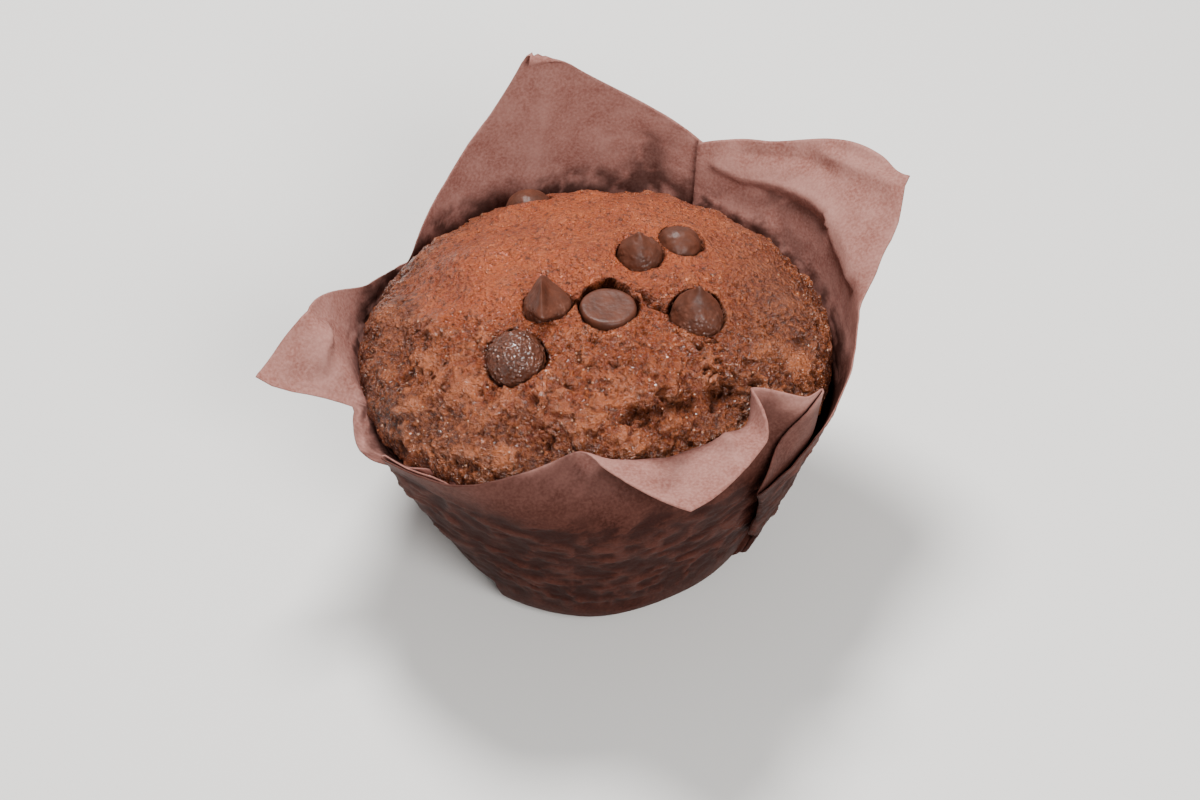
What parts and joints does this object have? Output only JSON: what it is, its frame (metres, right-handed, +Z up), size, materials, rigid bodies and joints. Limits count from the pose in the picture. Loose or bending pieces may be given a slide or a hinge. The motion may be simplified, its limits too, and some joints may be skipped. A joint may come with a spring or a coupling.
{
  "type": "muffin",
  "caption": "Round chocolate muffin with a domed craggy crust and chocolate chips, in a pleated tulip paper case with pointed corners.",
  "frame": {"origin": "centre of the paper case's flat bottom, on the surface it stands on", "axes": "+Z up; +Y away from the folded-down front corner of the case, +X to its right"},
  "size_m": [0.1159, 0.0986, 0.0709],
  "materials": {
    "brown_paper": "matte brown baking paper",
    "chocolate_crumb": "baked chocolate crumb, moist and porous",
    "chocolate_chip": "dark chocolate, satin"
  },
  "bodies": {
    "root": {"paper_case": "brown_paper", "cake": "chocolate_crumb", "chip_1": "chocolate_chip", "chip_2": "chocolate_chip", "chip_3": "chocolate_chip", "chip_4": "chocolate_chip", "chip_5": "chocolate_chip", "chip_6": "chocolate_chip", "chip_7": "chocolate_chip"}
  },
  "joints": []
}
